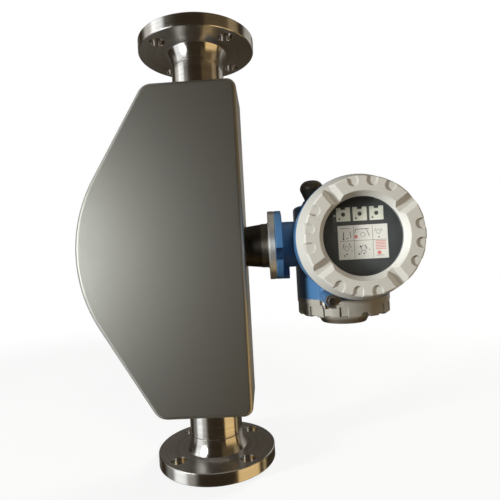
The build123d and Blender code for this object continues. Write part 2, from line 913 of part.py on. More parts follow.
def ground_screw():
    seat = ground_boss_height - terminal_ceiling
    screw = rod(ground_screw_radius, seat - ground_boss_height, seat)
    head = rod(ground_head_radius, seat, seat + ground_head_height)
    top = seat + ground_head_height
    slot = block(2 * ground_head_radius, board_thickness, top - ground_head_height / 2, top)
    return terminal_view * Pos(0, -ground_set_back, 0) * (screw + head - slot)


def entry_frame(x):
    """Local frame on a cable entry boss, z up out of the housing."""
    top = middle + terminal_top + entry_boss_height
    return Plane(origin=(transmitter_x + x, terminal_set_back, top), x_dir=(1, 0, 0), z_dir=(0, 0, 1))


def entry_washer(x):
    ring = rod(washer_radius, 0, washer_thickness)
    return entry_frame(x) * (ring - rod(plug_thread_radius + thread_fit, 0, washer_thickness))


def entry_plug(x):
    """Dome headed blanking plug, narrow at the waist."""
    seat = washer_thickness
    plug = turned([
        (0, plug_height),
        (0, seat - plug_thread_length),
        (plug_thread_radius - edge_break, seat - plug_thread_length),
        (plug_thread_radius, seat - plug_thread_length + edge_break),
        (plug_thread_radius, seat),
        (plug_collar_radius, seat),
        (plug_collar_radius, seat + plug_collar_height),
        (plug_waist_radius, seat + plug_collar_height),
        (plug_waist_radius, seat + plug_waist_height),
        (plug_head_radius, plug_head_start),
        (plug_head_radius, plug_height),
    ])
    plug = fillet(plug.faces().sort_by(Axis.Z)[-1].edges(), plug_dome_radius)
    return entry_frame(x) * plug


def clamp(frame, rim_radius, turn, start):
    """Flat claw: an eye round its screw and a nose that follows the cover's rim."""
    x, y = clamp_centre(rim_radius, turn)
    nose_x, nose_y = polar(rim_radius + clamp_gap + clamp_nose_offset, turn + clamp_nose_turn)
    outline = make_hull([
        (Pos(x, y) * Circle(clamp_eye_radius)).edge(),
        (Pos(nose_x, nose_y) * Circle(clamp_nose_radius)).edge(),
    ])
    plate = Pos(0, 0, start) * extrude(outline, clamp_thickness)
    plate -= rod(rim_radius + clamp_gap, start, start + clamp_thickness)
    plate -= rod(clamp_screw_radius + thread_fit, start, start + clamp_thickness, x, y)
    return frame * plate


def clamp_screw(frame, rim_radius, turn, start):
    x, y = clamp_centre(rim_radius, turn)
    seat = start + clamp_thickness
    screw = rod(clamp_screw_radius, start - clamp_screw_length, seat)
    head = rod(clamp_head_radius, seat, seat + clamp_head_height)
    head = chamfer(head.faces().sort_by(Axis.Z)[-1].edges(), edge_break / 2)
    return frame * Pos(x, y, 0) * (screw + head - hex_socket(seat + clamp_head_height))


def mirrored(shape):
    """The same piece at the upper flange."""
    return mirror(shape, about=Plane.XY.offset(middle))


def build():
    drive, lower_pickoff, upper_pickoff = coil_frames()
    pickoffs = (lower_pickoff, upper_pickoff)
    front_shell = front_housing_shell()
    return {
        "lower_flange": lower_flange(),
        "upper_flange": mirrored(lower_flange()),
        "lower_flow_divider": lower_flow_divider(),
        "upper_flow_divider": mirrored(lower_flow_divider()),
        "front_housing_shell": front_shell,
        "rear_housing_shell": mirror(front_shell, about=Plane.XZ),
        "lower_brace_plate": brace_plate(),
        "upper_brace_plate": mirrored(brace_plate()),
        "sensor_neck": sensor_neck(),
        "neck_collar": neck_collar(),
        "neck_seal": neck_seal(),
        "feedthrough": feedthrough(),
        "feedthrough_pins": feedthrough_pins(),
        "front_measuring_tube": measuring_tube(-1),
        "drive_coil_bracket": coil_bracket(drive, 1),
        "drive_coil": coil(drive),
        "pickoff_coil_brackets": Compound([coil_bracket(frame, 1) for frame in pickoffs]),
        "pickoff_coils": Compound([coil(frame) for frame in pickoffs]),
        "rear_measuring_tube": measuring_tube(1),
        "drive_magnet_bracket": coil_bracket(drive, -1),
        "drive_magnet": magnet(drive),
        "pickoff_magnet_brackets": Compound([coil_bracket(frame, -1) for frame in pickoffs]),
        "pickoff_magnets": Compound([magnet(frame) for frame in pickoffs]),
        "transmitter_housing": transmitter_housing(),
        "securing_screw": securing_screw(),
        "electronics_carrier": electronics_carrier(),
        "power_board": circuit_board(0),
        "signal_board": circuit_board(1),
        "output_board": circuit_board(2),
        "display_holder": display_holder(),
        "display_frame": display_frame(),
        "display_board": display_board(),
        "display_keys": display_keys(),
        "display_label": display_label(),
        "display_cover": display_cover(),
        "display_cover_seal": cover_seal(front_view, display_thread_radius, drum_front),
        "window_glass": window_glass(),
        "glass_retainer": glass_retainer(),
        "terminal_cover": terminal_cover(),
        "terminal_cover_seal": cover_seal(terminal_view, terminal_thread_radius, terminal_depth),
        "terminal_board": terminal_board(),
        "terminal_block": terminal_block(),
        "terminal_screws": terminal_screws(),
        "ground_screw": ground_screw(),
        "left_entry_washer": entry_washer(entry_places[0]),
        "left_entry_plug": entry_plug(entry_places[0]),
        "right_entry_washer": entry_washer(entry_places[1]),
        "right_entry_plug": entry_plug(entry_places[1]),
        "display_cover_clamp": clamp(*display_claw),
        "display_clamp_screw": clamp_screw(*display_claw),
        "terminal_cover_clamp": clamp(*terminal_claw),
        "terminal_clamp_screw": clamp_screw(*terminal_claw),
    }


os.makedirs("parts", exist_ok=True)
for name, shape in build().items():
    export_step(shape, "parts/" + name + ".step")
    print(name, round(shape.volume / 1000, 2), "cm3")
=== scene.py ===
import math

import bmesh
import bpy
from mathutils import Matrix, Vector


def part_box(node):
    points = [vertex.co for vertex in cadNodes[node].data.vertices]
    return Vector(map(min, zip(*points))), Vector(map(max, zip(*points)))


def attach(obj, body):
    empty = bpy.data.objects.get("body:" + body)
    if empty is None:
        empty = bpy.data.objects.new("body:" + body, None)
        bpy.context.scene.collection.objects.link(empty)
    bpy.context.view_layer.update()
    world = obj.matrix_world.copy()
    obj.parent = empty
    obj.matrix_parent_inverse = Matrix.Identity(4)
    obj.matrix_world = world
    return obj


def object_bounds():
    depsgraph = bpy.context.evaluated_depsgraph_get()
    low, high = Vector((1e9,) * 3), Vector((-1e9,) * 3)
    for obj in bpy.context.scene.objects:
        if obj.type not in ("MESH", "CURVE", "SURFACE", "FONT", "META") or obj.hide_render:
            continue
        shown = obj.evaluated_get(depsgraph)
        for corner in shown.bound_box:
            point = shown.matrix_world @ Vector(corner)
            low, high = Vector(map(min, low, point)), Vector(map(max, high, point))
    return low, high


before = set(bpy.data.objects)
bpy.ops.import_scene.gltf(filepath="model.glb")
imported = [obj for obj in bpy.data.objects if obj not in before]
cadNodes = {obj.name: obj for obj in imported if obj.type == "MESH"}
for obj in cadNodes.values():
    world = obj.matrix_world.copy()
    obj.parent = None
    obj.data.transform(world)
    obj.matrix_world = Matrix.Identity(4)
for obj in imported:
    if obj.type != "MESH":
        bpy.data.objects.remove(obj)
cadLow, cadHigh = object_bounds()
print("frame loaded:", len(cadNodes), "nodes")


# node helpers

plainWhite = (1.0, 1.0, 1.0, 1.0)


def addNode(tree, kind, inputs=None, **settings):
    node = tree.nodes.new(kind)
    for key, value in settings.items():
        setattr(node, key, value)
    for key, value in (inputs or {}).items():
        if isinstance(value, bpy.types.NodeSocket):
            tree.links.new(value, node.inputs[key])
        else:
            node.inputs[key].default_value = value
    return node


def calc(tree, operation, *values, clamp=False):
    inputs = {place: value for place, value in enumerate(values)}
    return addNode(tree, "ShaderNodeMath", inputs, operation=operation, use_clamp=clamp).outputs[0]


def remap(tree, value, fromLow, fromHigh, toLow=0.0, toHigh=1.0, smooth=False):
    return addNode(tree, "ShaderNodeMapRange", {
        "Value": value, "From Min": fromLow, "From Max": fromHigh, "To Min": toLow, "To Max": toHigh,
    }, interpolation_type="SMOOTHSTEP" if smooth else "LINEAR").outputs["Result"]


def mixColour(tree, share, first, second, blend="MIX"):
    node = addNode(tree, "ShaderNodeMix", {0: share, 6: asColour(first), 7: asColour(second)},
                   data_type="RGBA", blend_type=blend)
    return node.outputs[2]


def asColour(value):
    return value if isinstance(value, bpy.types.NodeSocket) else (*value[:3], 1.0)


def newGroup(name, inputs, outputs):
    tree = bpy.data.node_groups.new(name, "ShaderNodeTree")
    for label, kind, value in inputs:
        socket = tree.interface.new_socket(name=label, in_out="INPUT", socket_type="NodeSocket" + kind)
        if value is not None:
            socket.default_value = value
    for label, kind in outputs:
        tree.interface.new_socket(name=label, in_out="OUTPUT", socket_type="NodeSocket" + kind)
    return tree, tree.nodes.new("NodeGroupInput").outputs, tree.nodes.new("NodeGroupOutput").inputs


def useGroup(tree, group, **inputs):
    return addNode(tree, "ShaderNodeGroup", inputs, node_tree=group).outputs


# shared effects

noiseSpan = (0.3, 0.7)  # where a noise texture's values mostly lie

ringEffect = {"fineScale": 1.0, "fineDetail": 3.0, "broadScale": 0.12, "broadDetail": 2.0, "swirl": 0.6}


def makeTurnedRings(effect):
    tree, given, wanted = newGroup(
        "turnedRings",
        [("Vector", "Vector", None), ("Pitch", "Float", 0.0006)],
        [("Height", "Float"), ("Tone", "Float")])
    place = addNode(tree, "ShaderNodeSeparateXYZ", {"Vector": given["Vector"]}).outputs
    squares = calc(tree, "ADD", calc(tree, "MULTIPLY", place["X"], place["X"]),
                   calc(tree, "MULTIPLY", place["Y"], place["Y"]))
    radius = calc(tree, "SQRT", squares)
    angle = calc(tree, "ARCTAN2", place["X"], place["Y"])
    rings = addNode(tree, "ShaderNodeCombineXYZ", {
        "X": calc(tree, "DIVIDE", radius, given["Pitch"]),
        "Y": calc(tree, "DIVIDE", place["Z"], given["Pitch"]),
        "Z": calc(tree, "MULTIPLY", angle, effect["swirl"]),
    }).outputs[0]
    fine = addNode(tree, "ShaderNodeTexNoise", {
        "Vector": rings, "Scale": effect["fineScale"], "Detail": effect["fineDetail"]})
    broad = addNode(tree, "ShaderNodeTexNoise", {
        "Vector": rings, "Scale": effect["broadScale"], "Detail": effect["broadDetail"]})
    tree.links.new(fine.outputs["Fac"], wanted["Height"])
    tree.links.new(broad.outputs["Fac"], wanted["Tone"])
    return tree


grainEffect = {"detail": 4.0, "roughness": 0.6, "pitCore": 0.05, "pitRim": 0.45}


def makeFineGrain(effect):
    tree, given, wanted = newGroup(
        "fineGrain",
        [("Vector", "Vector", None), ("Size", "Float", 0.001)],
        [("Height", "Float"), ("Speck", "Float")])
    scale = calc(tree, "DIVIDE", 1.0, given["Size"])
    grain = addNode(tree, "ShaderNodeTexNoise", {
        "Vector": given["Vector"], "Scale": scale, "Detail": effect["detail"],
        "Roughness": effect["roughness"]})
    pits = addNode(tree, "ShaderNodeTexVoronoi", {"Vector": given["Vector"], "Scale": scale})
    tree.links.new(grain.outputs["Fac"], wanted["Height"])
    speck = remap(tree, pits.outputs["Distance"], effect["pitCore"], effect["pitRim"], 1.0, 0.0)
    tree.links.new(speck, wanted["Speck"])
    return tree


markEffect = {"detail": 6.0, "roughness": 0.62, "distortion": 0.4, "bare": 0.78, "coverShare": 0.5,
              "blur": 0.22}


def makeHandMarks(effect):
    tree, given, wanted = newGroup(
        "handMarks",
        [("Vector", "Vector", None), ("Size", "Float", 0.05), ("Cover", "Float", 0.5)],
        [("Mask", "Float")])
    scale = calc(tree, "DIVIDE", 1.0, given["Size"])
    clouds = addNode(tree, "ShaderNodeTexNoise", {
        "Vector": given["Vector"], "Scale": scale, "Detail": effect["detail"],
        "Roughness": effect["roughness"], "Distortion": effect["distortion"]})
    spread = calc(tree, "MULTIPLY", given["Cover"], effect["coverShare"])
    low = calc(tree, "SUBTRACT", effect["bare"], spread)
    high = calc(tree, "ADD", low, effect["blur"])
    tree.links.new(remap(tree, clouds.outputs["Fac"], low, high, smooth=True), wanted["Mask"])
    return tree


wearEffect = {"samples": 4, "flat": 0.995, "edge": 0.93, "chipScale": 260.0, "chipDetail": 3.0,
              "chipShare": 0.75, "chipEnd": 0.8}


def makeEdgeWear(effect):
    tree, given, wanted = newGroup(
        "edgeWear",
        [("Vector", "Vector", None), ("Radius", "Float", 0.0008), ("Breakup", "Float", 0.5)],
        [("Normal", "Vector"), ("Mask", "Float")])
    rounded = addNode(tree, "ShaderNodeBevel", {"Radius": given["Radius"]},
                      samples=effect["samples"]).outputs[0]
    flat = addNode(tree, "ShaderNodeNewGeometry").outputs["Normal"]
    likeness = addNode(tree, "ShaderNodeVectorMath", {0: rounded, 1: flat}, operation="DOT_PRODUCT")
    edge = remap(tree, likeness.outputs["Value"], effect["flat"], effect["edge"])
    chips = addNode(tree, "ShaderNodeTexNoise", {
        "Vector": given["Vector"], "Scale": effect["chipScale"],
        "Detail": effect["chipDetail"]}).outputs["Fac"]
    spared = calc(tree, "MULTIPLY", given["Breakup"], effect["chipShare"])
    kept = remap(tree, chips, spared, effect["chipEnd"])
    tree.links.new(rounded, wanted["Normal"])
    tree.links.new(calc(tree, "MULTIPLY", edge, kept, clamp=True), wanted["Mask"])
    return tree


dustEffect = {"slope": 0.55, "level": 0.98, "scale": 70.0, "detail": 7.0, "roughness": 0.7,
              "thin": 0.35, "thick": 0.75}


def makeSettledDust(effect):
    tree, given, wanted = newGroup(
        "settledDust",
        [("Vector", "Vector", None), ("Amount", "Float", 0.3)],
        [("Mask", "Float")])
    facing = addNode(tree, "ShaderNodeSeparateXYZ", {
        "Vector": addNode(tree, "ShaderNodeNewGeometry").outputs["Normal"]}).outputs["Z"]
    upward = remap(tree, facing, effect["slope"], effect["level"], smooth=True)
    drift = addNode(tree, "ShaderNodeTexNoise", {
        "Vector": given["Vector"], "Scale": effect["scale"], "Detail": effect["detail"],
        "Roughness": effect["roughness"]}).outputs["Fac"]
    lying = calc(tree, "MULTIPLY", upward, remap(tree, drift, effect["thin"], effect["thick"]))
    tree.links.new(calc(tree, "MULTIPLY", lying, given["Amount"], clamp=True), wanted["Mask"])
    return tree


turnedRings = makeTurnedRings(ringEffect)
fineGrain = makeFineGrain(grainEffect)
handMarks = makeHandMarks(markEffect)
edgeWear = makeEdgeWear(wearEffect)
settledDust = makeSettledDust(dustEffect)
print("shared effects built")


# finishes

def startFinish(name, **sockets):
    material = bpy.data.materials.new(name)
    material.use_nodes = True
    tree = material.node_tree
    shader = tree.nodes["Principled BSDF"]
    for key, value in sockets.items():
        shader.inputs[key].default_value = value
    return material, tree, shader.inputs


def objectPlace(tree, centre=(0.0, 0.0, 0.0), turn=(0.0, 0.0, 0.0)):
    where = addNode(tree, "ShaderNodeTexCoord").outputs["Object"]
    shifted = addNode(tree, "ShaderNodeMapping", {
        "Vector": where, "Location": [-value for value in centre]}).outputs[0]
    return addNode(tree, "ShaderNodeMapping", {
        "Vector": shifted, "Rotation": [math.radians(value) for value in turn]}).outputs[0]


def linkBump(tree, sockets, height, strength, depth, normal=None):
    bump = addNode(tree, "ShaderNodeBump", {"Height": height, "Strength": strength, "Distance": depth})
    if normal is not None:
        tree.links.new(normal, bump.inputs["Normal"])
    tree.links.new(bump.outputs[0], sockets["Normal"])


# what every turned piece has alike; the groove's depth is a share of its pitch
turnedHabit = {
    "centre": (0.0, 0.0, 0.0), "turn": (0.0, 0.0, 0.0), "chipping": 0.2, "staining": 0.45, "smear": 0.12,
    "grooveShine": (-0.03, 0.04), "grooveDepth": 0.1, "faceFrom": 0.7, "faceTo": 0.95, "nearNeckBlur": 0.001,
    "spreadTurn": 0.25,  # grooves spread the light across themselves
}


def turnedSteel(name, look):
    look = {**turnedHabit, **look}
    material, tree, sockets = startFinish(name, Metallic=1.0)
    place = objectPlace(tree, look["centre"], look["turn"])
    rings = useGroup(tree, turnedRings, Vector=place, Pitch=look["pitch"])
    marks = useGroup(tree, handMarks, Vector=place, Size=look["markSize"], Cover=look["markCover"])["Mask"]
    wear = useGroup(tree, edgeWear, Vector=place, Radius=look["edge"], Breakup=look["chipping"])
    steel = mixColour(tree, remap(tree, rings["Tone"], *noiseSpan), look["dark"], look["light"])
    stained = mixColour(tree, calc(tree, "MULTIPLY", marks, look["staining"]), steel, look["stain"])
    surfaceColour = mixColour(tree, wear["Mask"], stained, look["edgeColour"])
    if "nearNeckColour" in look:  # darker on the part nearest the neck
        along = calc(tree, "ABSOLUTE", addNode(tree, "ShaderNodeSeparateXYZ", {"Vector": place}).outputs["Z"])
        nearNeck = remap(tree, along, look["nearNeckEnd"] + look["nearNeckBlur"], look["nearNeckEnd"])
        surfaceColour = mixColour(tree, nearNeck, surfaceColour, look["nearNeckColour"])
    tree.links.new(surfaceColour, sockets["Base Color"])
    facing = addNode(tree, "ShaderNodeSeparateXYZ", {
        "Vector": addNode(tree, "ShaderNodeNewGeometry").outputs["Normal"]}).outputs[look["axis"]]
    flatFace = remap(tree, calc(tree, "ABSOLUTE", facing), look["faceFrom"], look["faceTo"])
    base = remap(tree, flatFace, 0.0, 1.0, look["sideRoughness"], look["faceRoughness"])
    rough = calc(tree, "ADD", base, calc(tree, "MULTIPLY", marks, look["smear"]))
    grooves = remap(tree, rings["Height"], *noiseSpan, *look["grooveShine"])
    tree.links.new(calc(tree, "ADD", rough, grooves), sockets["Roughness"])
    depth = look["pitch"] * look["grooveDepth"]
    linkBump(tree, sockets, rings["Height"], look["bump"], depth, wear["Normal"])
    sockets["Anisotropic"].default_value = look["spread"]
    sockets["Anisotropic Rotation"].default_value = look["spreadTurn"]
    around = addNode(tree, "ShaderNodeTangent", direction_type="RADIAL", axis=look["axis"])
    tree.links.new(around.outputs[0], sockets["Tangent"])
    return material


blastedHabit = {"chipping": 0.1, "wornShine": 0.12, "speckShine": (-0.02, 0.05), "grainDepth": 0.12}


def blastedSteel(name, look):
    look = {**blastedHabit, **look}
    material, tree, sockets = startFinish(name, Metallic=1.0)
    place = objectPlace(tree)
    grain = useGroup(tree, fineGrain, Vector=place, Size=look["grain"])
    marks = useGroup(tree, handMarks, Vector=place, Size=look["markSize"], Cover=look["markCover"])["Mask"]
    wear = useGroup(tree, edgeWear, Vector=place, Radius=look["edge"], Breakup=look["chipping"])
    dust = useGroup(tree, settledDust, Vector=place, Amount=look["dust"])["Mask"]
    mottle = mixColour(tree, remap(tree, grain["Height"], *noiseSpan), look["dark"], look["light"])
    stained = mixColour(tree, calc(tree, "MULTIPLY", marks, look["staining"]), mottle, look["stain"])
    rubbed = mixColour(tree, wear["Mask"], stained, look["edgeColour"])
    tree.links.new(mixColour(tree, dust, rubbed, look["dustColour"]), sockets["Base Color"])
    rough = remap(tree, marks, 0.0, 1.0, look["roughness"], look["roughness"] + look["smear"])
    polished = calc(tree, "SUBTRACT", rough, calc(tree, "MULTIPLY", wear["Mask"], look["wornShine"]))
    specks = remap(tree, grain["Speck"], 0.0, 1.0, *look["speckShine"])
    tree.links.new(calc(tree, "ADD", polished, specks), sockets["Roughness"])
    linkBump(tree, sockets, grain["Height"], look["bump"], look["grain"] * look["grainDepth"], wear["Normal"])
    return material


# the splash values set the blur and cover of a painted shade on a paint's lowest part
paintHabit = {"smear": 0.15, "dustRoughness": 0.3, "peelDepth": 0.12, "underShadeBlur": (0.004, -0.002),
              "underShadeCover": 0.85}


def castPaint(name, look):
    look = {**paintHabit, **look}
    material, tree, sockets = startFinish(name)
    place = objectPlace(tree)
    peel = useGroup(tree, fineGrain, Vector=place, Size=look["peel"])
    marks = useGroup(tree, handMarks, Vector=place, Size=look["markSize"], Cover=look["markCover"])["Mask"]
    wear = useGroup(tree, edgeWear, Vector=place, Radius=look["edge"], Breakup=look["chipping"])
    dust = useGroup(tree, settledDust, Vector=place, Amount=look["dust"])["Mask"]
    paint = mixColour(tree, remap(tree, peel["Height"], *noiseSpan), look["dark"], look["light"])
    soiled = mixColour(tree, calc(tree, "MULTIPLY", marks, look["soil"]), paint, look["stain"])
    surfaceColour = mixColour(tree, wear["Mask"], soiled, look["edgeColour"])
    if "underShadeHeight" in look:  # painted shade on the lowest part, which faces down
        height = addNode(tree, "ShaderNodeSeparateXYZ", {"Vector": place}).outputs["Z"]
        top, bottom = [look["underShadeHeight"] + blur for blur in look["underShadeBlur"]]
        underShaded = remap(tree, height, top, bottom, 0.0, look["underShadeCover"])
        surfaceColour = mixColour(tree, underShaded, surfaceColour, look["underShadeColour"])
    tree.links.new(mixColour(tree, dust, surfaceColour, look["dustColour"]), sockets["Base Color"])
    rough = remap(tree, marks, 0.0, 1.0, look["roughness"], look["roughness"] + look["smear"])
    dusty = calc(tree, "MULTIPLY", dust, look["dustRoughness"])
    tree.links.new(calc(tree, "ADD", rough, dusty), sockets["Roughness"])
    linkBump(tree, sockets, peel["Height"], look["bump"], look["peel"] * look["peelDepth"], wear["Normal"])
    return material


plasticHabit = {"markSize": 0.02, "markCover": 0.45, "chipping": 0.5, "rub": 0.5, "smear": 0.14,
                "grainDepth": 0.15}


def mouldedPlastic(name, look):
    look = {**plasticHabit, **look}
    material, tree, sockets = startFinish(name)
    place = objectPlace(tree)
    grain = useGroup(tree, fineGrain, Vector=place, Size=look["grain"])
    marks = useGroup(tree, handMarks, Vector=place, Size=look["markSize"], Cover=look["markCover"])["Mask"]
    wear = useGroup(tree, edgeWear, Vector=place, Radius=look["edge"], Breakup=look["chipping"])
    plain = mixColour(tree, remap(tree, grain["Speck"], 0.0, 1.0), look["light"], look["dark"])
    rubbed = mixColour(tree, calc(tree, "MULTIPLY", wear["Mask"], look["rub"]), plain, look["edgeColour"])
    tree.links.new(rubbed, sockets["Base Color"])
    rough = remap(tree, marks, 0.0, 1.0, look["roughness"], look["roughness"] + look["smear"])
    tree.links.new(rough, sockets["Roughness"])
    linkBump(tree, sockets, grain["Height"], look["bump"], look["grain"] * look["grainDepth"], wear["Normal"])
    return material


def windowPane(name, look):
    material, tree, sockets = startFinish(name, **{
        "Transmission Weight": 1.0, "Roughness": 0.0, "IOR": look["index"]})
    place = objectPlace(tree)
    wipes = useGroup(tree, handMarks, Vector=place, Size=look["wipeSize"], Cover=look["wipeCover"])["Mask"]
    tree.links.new(mixColour(tree, wipes, look["clear"], look["hazy"]), sockets["Base Color"])
    unshaded = addNode(tree, "ShaderNodeBsdfTransparent", {"Color": asColour(look["clear"])})
    shadowRay = addNode(tree, "ShaderNodeLightPath").outputs["Is Shadow Ray"]
    both = addNode(tree, "ShaderNodeMixShader", {
        0: shadowRay, 1: tree.nodes["Principled BSDF"].outputs[0], 2: unshaded.outputs[0]})
    tree.links.new(both.outputs[0], tree.nodes["Material Output"].inputs["Surface"])
    return material


def dress(material, *names):
    for name in names:
        slots = cadNodes[name].data.materials
        if not slots:
            slots.append(material)
        for place in range(len(slots)):
            slots[place] = material


flangeLook = {
    "light": (0.66, 0.64, 0.61), "dark": (0.55, 0.53, 0.5), "stain": (0.42, 0.38, 0.32),
    "edgeColour": (0.8, 0.79, 0.77), "pitch": 0.0005, "bump": 0.35, "edge": 0.0006,
    "sideRoughness": 0.17, "faceRoughness": 0.32, "markSize": 0.03, "markCover": 0.4,
    "spread": 0.6, "axis": "Z",
}
dress(turnedSteel("flangeSteel", flangeLook),
      "lower_flange", "upper_flange", "lower_flow_divider", "upper_flow_divider")

neckAxis = {"centre": (0.0, 0.0, 0.27725), "turn": (0.0, 90.0, 0.0)}  # the transmitter's neck runs along X
ringLook = {
    **flangeLook, **neckAxis, "axis": "X", "light": (0.86, 0.85, 0.82), "dark": (0.76, 0.75, 0.72),
    "pitch": 0.0004, "sideRoughness": 0.48, "faceRoughness": 0.42, "spread": 0.8,
    "nearNeckColour": (0.16, 0.145, 0.12), "nearNeckEnd": 0.0815,
}
dress(turnedSteel("ringSteel", ringLook), "neck_collar")

neckLook = {
    **flangeLook, **neckAxis, "axis": "X", "light": (0.07, 0.064, 0.056), "dark": (0.045, 0.04, 0.034),
    "stain": (0.03, 0.026, 0.02), "edgeColour": (0.16, 0.15, 0.135),
    "sideRoughness": 0.5, "faceRoughness": 0.5,
}
dress(turnedSteel("neckDark", neckLook), "sensor_neck")

housingLook = {
    "light": (0.49, 0.485, 0.445), "dark": (0.44, 0.432, 0.395), "stain": (0.37, 0.355, 0.31),
    "edgeColour": (0.62, 0.605, 0.57), "dustColour": (0.4, 0.38, 0.34),
    "grain": 0.0007, "bump": 0.5, "edge": 0.0012, "roughness": 0.43, "smear": 0.02,
    "markSize": 0.09, "markCover": 0.4, "staining": 0.2, "dust": 0.2,
}
dress(blastedSteel("housingSteel", housingLook), "front_housing_shell", "rear_housing_shell")

tubeLook = {**flangeLook, "pitch": 0.002, "sideRoughness": 0.28, "faceRoughness": 0.3, "bump": 0.12}
dress(turnedSteel("tubeSteel", tubeLook), "front_measuring_tube", "rear_measuring_tube",
      "lower_brace_plate", "upper_brace_plate")

bracketLook = {**housingLook, "light": (0.55, 0.55, 0.54), "dark": (0.48, 0.48, 0.47), "grain": 0.0004,
               "roughness": 0.34, "edge": 0.0004}
dress(blastedSteel("bracketSteel", bracketLook), "drive_coil_bracket", "drive_magnet_bracket",
      "pickoff_coil_brackets", "pickoff_magnet_brackets")

coilLook = {
    "light": (0.62, 0.3, 0.13), "dark": (0.42, 0.18, 0.07), "stain": (0.3, 0.14, 0.06),
    "edgeColour": (0.7, 0.4, 0.2), "pitch": 0.0004, "bump": 0.8, "edge": 0.0003,
    "sideRoughness": 0.34, "faceRoughness": 0.34, "markSize": 0.01, "markCover": 0.4,
    "spread": 0.0, "axis": "Y",
}
dress(turnedSteel("coilCopper", coilLook), "drive_coil", "pickoff_coils")

magnetLook = {**housingLook, "light": (0.5, 0.5, 0.5), "dark": (0.42, 0.42, 0.42), "grain": 0.0003,
              "roughness": 0.3, "edge": 0.0003}
dress(blastedSteel("magnetMetal", magnetLook), "drive_magnet", "pickoff_magnets")

blueLook = {
    "light": (0.06, 0.155, 0.3), "dark": (0.048, 0.13, 0.265), "stain": (0.03, 0.075, 0.145),
    "edgeColour": (0.16, 0.3, 0.48), "dustColour": (0.3, 0.33, 0.36), "peel": 0.0011, "bump": 0.4,
    "edge": 0.001, "chipping": 0.55, "roughness": 0.36, "markSize": 0.03, "markCover": 0.4, "soil": 0.5,
    "dust": 0.22,
}
dress(castPaint("bluePaint", blueLook), "transmitter_housing")

greyLook = {
    "light": (0.55, 0.53, 0.485), "dark": (0.5, 0.48, 0.435), "stain": (0.4, 0.36, 0.29),
    "edgeColour": (0.68, 0.66, 0.61), "dustColour": (0.5, 0.47, 0.41), "peel": 0.0013, "bump": 0.5,
    "edge": 0.0012, "chipping": 0.35, "roughness": 0.4, "markSize": 0.025, "markCover": 0.42, "soil": 0.4,
    "dust": 0.2,
}
dress(castPaint("greyPaint", greyLook), "display_cover")

# a darker copy of the grey paint: painted shade for the terminal cover under the display drum, with heavier
# soiling marks and painted shade on its lowest part
shadedSoiledLook = {
    **greyLook, "light": (0.36, 0.335, 0.285), "dark": (0.31, 0.285, 0.24), "stain": (0.24, 0.2, 0.145),
    "edgeColour": (0.52, 0.5, 0.45), "dustColour": (0.36, 0.32, 0.26), "soil": 0.6,
    "underShadeColour": (0.07, 0.05, 0.03), "underShadeHeight": 0.1735,
}
dress(castPaint("shadedSoiledPaint", shadedSoiledLook), "terminal_cover")

clampLook = {**housingLook, "light": (0.47, 0.43, 0.37), "dark": (0.4, 0.365, 0.31), "grain": 0.0005,
             "roughness": 0.38, "edge": 0.0006}
dress(blastedSteel("clampSteel", clampLook), "display_cover_clamp", "terminal_cover_clamp")

screwLook = {**clampLook, "light": (0.3, 0.29, 0.27), "dark": (0.2, 0.19, 0.18), "grain": 0.0003,
             "roughness": 0.3, "edge": 0.0003}
dress(blastedSteel("screwSteel", screwLook), "display_clamp_screw", "terminal_clamp_screw",
      "securing_screw", "terminal_screws")

rubberLook = {"light": (0.03, 0.03, 0.029), "dark": (0.018, 0.018, 0.018), "edgeColour": (0.07, 0.07, 0.068),
              "grain": 0.0004, "bump": 0.4, "edge": 0.0004, "roughness": 0.6}
dress(mouldedPlastic("sealRubber", rubberLook), "neck_seal", "display_cover_seal", "terminal_cover_seal",
      "left_entry_washer", "right_entry_washer")

plugLook = {**rubberLook, "light": (0.05, 0.042, 0.028), "dark": (0.032, 0.027, 0.018),
            "edgeColour": (0.12, 0.1, 0.07), "grain": 0.0006, "roughness": 0.42, "edge": 0.0008}
dress(mouldedPlastic("plugPlastic", plugLook), "left_entry_plug", "right_entry_plug")

bezelLook = {**rubberLook, "light": (0.038, 0.04, 0.04), "dark": (0.029, 0.031, 0.031),
             "edgeColour": (0.09, 0.09, 0.088), "grain": 0.0006, "roughness": 0.45}
dress(mouldedPlastic("bezelPlastic", bezelLook), "display_frame")

carrierLook = {**bezelLook, "light": (0.1, 0.1, 0.1), "dark": (0.07, 0.07, 0.07), "roughness": 0.5}
dress(mouldedPlastic("carrierPlastic", carrierLook), "electronics_carrier", "display_holder",
      "glass_retainer")

keyLook = {"light": (0.55, 0.53, 0.45), "dark": (0.5, 0.48, 0.405), "edgeColour": (0.68, 0.66, 0.58),
           "grain": 0.0005, "bump": 0.25, "edge": 0.0004, "roughness": 0.4}
dress(mouldedPlastic("keyPlastic", keyLook), "display_keys")

labelLook = {"light": (0.55, 0.515, 0.475), "dark": (0.5, 0.465, 0.43), "edgeColour": (0.62, 0.59, 0.55),
             "grain": 0.0008, "bump": 0.08, "edge": 0.0003, "roughness": 0.32}
dress(mouldedPlastic("labelFilm", labelLook), "display_label")

boardLook = {"light": (0.035, 0.17, 0.075), "dark": (0.025, 0.12, 0.05), "edgeColour": (0.3, 0.34, 0.2),
             "grain": 0.0012, "bump": 0.2, "edge": 0.0003, "roughness": 0.3}
dress(mouldedPlastic("boardGreen", boardLook), "power_board", "signal_board", "output_board",
      "display_board", "terminal_board")

terminalLook = {**boardLook, "light": (0.14, 0.25, 0.15), "dark": (0.1, 0.19, 0.11),
                "edgeColour": (0.25, 0.36, 0.25), "roughness": 0.42}
dress(mouldedPlastic("terminalPlastic", terminalLook), "terminal_block")

